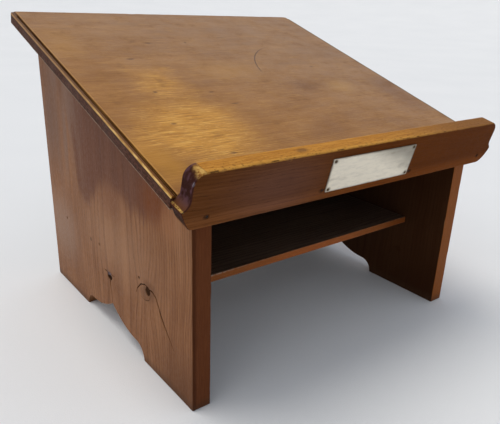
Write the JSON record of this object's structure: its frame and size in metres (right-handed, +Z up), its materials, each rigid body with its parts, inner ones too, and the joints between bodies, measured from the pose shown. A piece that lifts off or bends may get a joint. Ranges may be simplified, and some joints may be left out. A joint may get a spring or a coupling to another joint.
{
  "type": "book stand",
  "caption": "Sloping wooden table book stand with a moulded board, shaped book stop, arched sides, low shelf, closed back and a blank metal plaque.",
  "frame": {"origin": "on the floor under the middle of the whole stand's box", "axes": "+X to the right as one reads at the stand, +Y to the back, +Z up; the board rises towards +Y"},
  "size_m": [0.421, 0.3904, 0.332],
  "materials": {
    "oak_board": "waxed golden brown oak, worn, with ray flecks",
    "oak_stop": "waxed dark brown oak, worn golden along its top",
    "oak_side": "waxed mid brown oak, vertical grain",
    "oak_shelf": "waxed brown oak",
    "oak_inner": "dark brown oak, little finish",
    "plaque_metal": "pale silver plate, dulled",
    "pin_metal": "dark domed pin",
    "nail_steel": "dark filled nail head",
    "screw_steel": "dull steel"
  },
  "bodies": {
    "root": {"top_board": "oak_board", "book_stop": "oak_stop", "side_left": "oak_side", "side_right": "oak_side", "shelf": "oak_shelf", "back_board": "oak_inner", "front_rail": "oak_inner", "cleat_left": "oak_inner", "cleat_right": "oak_inner", "plaque": "plaque_metal", "plaque_pins": "pin_metal", "book_stop_nails": "nail_steel", "shelf_nails": "nail_steel", "back_board_pins": "nail_steel", "cleat_screws": "screw_steel"}
  },
  "joints": []
}
